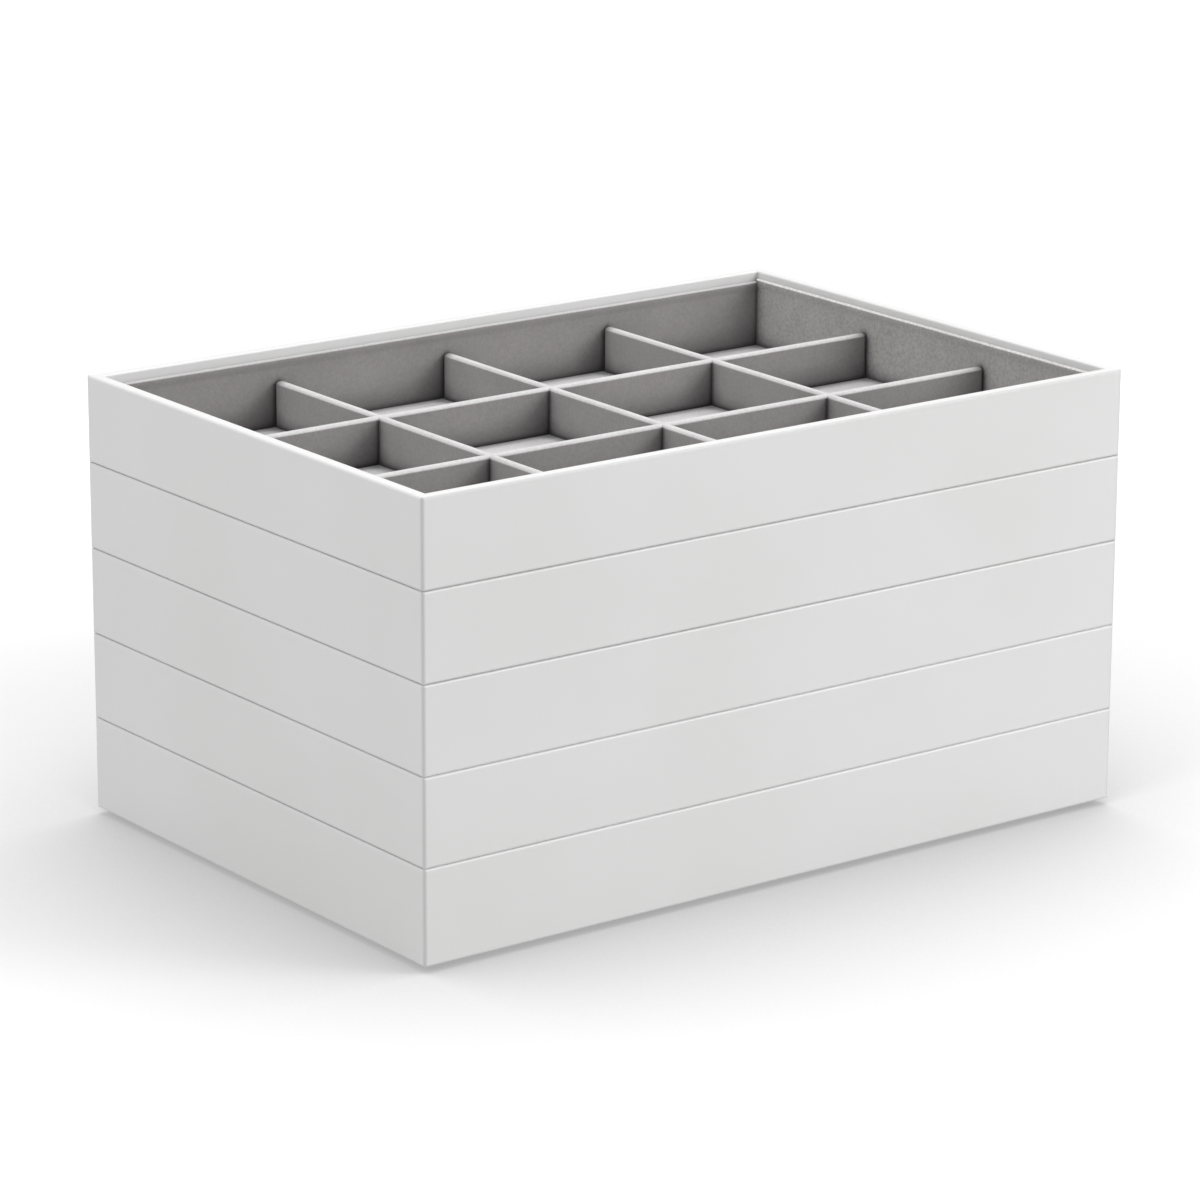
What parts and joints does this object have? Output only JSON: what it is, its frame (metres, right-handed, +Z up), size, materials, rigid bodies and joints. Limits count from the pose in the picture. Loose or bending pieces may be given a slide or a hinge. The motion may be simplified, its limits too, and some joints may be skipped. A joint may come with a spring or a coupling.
{
  "type": "jewelry tray",
  "caption": "Stack of shallow white lacquered trays with grey velvet lining and a slotted velvet grid of equal compartments; each tray nests in the rim below and lifts off.",
  "frame": {"origin": "centre of the underside of the lowest tray's felt, on the surface that the stack stands on", "axes": "+X along the long sides, +Y along the short sides towards the back, +Z up; the long front side faces -Y and the short left side faces -X"},
  "size_m": [0.35, 0.24, 0.1883],
  "materials": {
    "white_lacquer": "satin white lacquer on fine fibreboard",
    "base_board": "thin white lacquer on fibreboard",
    "base_felt": "thin dark grey pressed felt",
    "velvet": "short-pile grey velvet over board"
  },
  "bodies": {
    "tray_1": {"tray_1_front_wall": "white_lacquer", "tray_1_back_wall": "white_lacquer", "tray_1_left_wall": "white_lacquer", "tray_1_right_wall": "white_lacquer", "tray_1_base_panel": "base_board", "tray_1_base_felt": "base_felt", "tray_1_floor_board": "velvet", "tray_1_long_linings": "velvet", "tray_1_short_linings": "velvet", "tray_1_long_dividers": "velvet", "tray_1_short_dividers": "velvet"},
    "tray_2": {"tray_2_front_wall": "white_lacquer", "tray_2_back_wall": "white_lacquer", "tray_2_left_wall": "white_lacquer", "tray_2_right_wall": "white_lacquer", "tray_2_base_panel": "base_board", "tray_2_base_felt": "base_felt", "tray_2_floor_board": "velvet", "tray_2_long_linings": "velvet", "tray_2_short_linings": "velvet", "tray_2_long_dividers": "velvet", "tray_2_short_dividers": "velvet"},
    "tray_3": {"tray_3_front_wall": "white_lacquer", "tray_3_back_wall": "white_lacquer", "tray_3_left_wall": "white_lacquer", "tray_3_right_wall": "white_lacquer", "tray_3_base_panel": "base_board", "tray_3_base_felt": "base_felt", "tray_3_floor_board": "velvet", "tray_3_long_linings": "velvet", "tray_3_short_linings": "velvet", "tray_3_long_dividers": "velvet", "tray_3_short_dividers": "velvet"},
    "tray_4": {"tray_4_front_wall": "white_lacquer", "tray_4_back_wall": "white_lacquer", "tray_4_left_wall": "white_lacquer", "tray_4_right_wall": "white_lacquer", "tray_4_base_panel": "base_board", "tray_4_base_felt": "base_felt", "tray_4_floor_board": "velvet", "tray_4_long_linings": "velvet", "tray_4_short_linings": "velvet", "tray_4_long_dividers": "velvet", "tray_4_short_dividers": "velvet"},
    "tray_5": {"tray_5_front_wall": "white_lacquer", "tray_5_back_wall": "white_lacquer", "tray_5_left_wall": "white_lacquer", "tray_5_right_wall": "white_lacquer", "tray_5_base_panel": "base_board", "tray_5_base_felt": "base_felt", "tray_5_floor_board": "velvet", "tray_5_front_lining": "velvet", "tray_5_back_lining": "velvet", "tray_5_left_lining": "velvet", "tray_5_right_lining": "velvet", "tray_5_long_divider_1": "velvet", "tray_5_long_divider_2": "velvet", "tray_5_short_divider_1": "velvet", "tray_5_short_divider_2": "velvet", "tray_5_short_divider_3": "velvet"}
  },
  "joints": [
    {"name": "tray_2_lift", "type": "slide", "parent": "tray_1", "child": "tray_2", "axis": [0, 0, 1], "range_m": [0, 0.06]},
    {"name": "tray_3_lift", "type": "slide", "parent": "tray_2", "child": "tray_3", "axis": [0, 0, 1], "range_m": [0, 0.06]},
    {"name": "tray_4_lift", "type": "slide", "parent": "tray_3", "child": "tray_4", "axis": [0, 0, 1], "range_m": [0, 0.06]},
    {"name": "tray_5_lift", "type": "slide", "parent": "tray_4", "child": "tray_5", "axis": [0, 0, 1], "range_m": [0, 0.06]}
  ]
}
